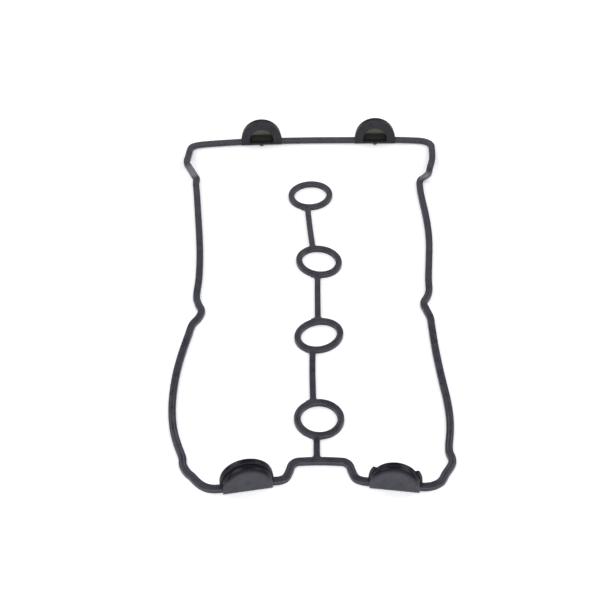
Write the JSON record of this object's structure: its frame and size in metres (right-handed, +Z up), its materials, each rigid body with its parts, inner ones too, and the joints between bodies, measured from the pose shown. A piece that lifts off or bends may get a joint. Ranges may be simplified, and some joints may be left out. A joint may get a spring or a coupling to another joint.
{
  "type": "valve cover gasket",
  "caption": "Moulded rubber valve cover gasket for an inline motorcycle engine: closed rail with half-moon cam plugs at its ends and a chain of spark plug well rings.",
  "frame": {"origin": "on the table, under the middle of the bounding box", "axes": "+X towards the right side run, +Y towards the timing chain end, +Z up out of the cover"},
  "size_m": [0.2024, 0.3844, 0.0221],
  "materials": {
    "black_rubber": "matt moulded nitrile rubber, faintly mottled, with a dull sheen"
  },
  "bodies": {
    "root": {"valve_cover_gasket": "black_rubber"}
  },
  "joints": []
}
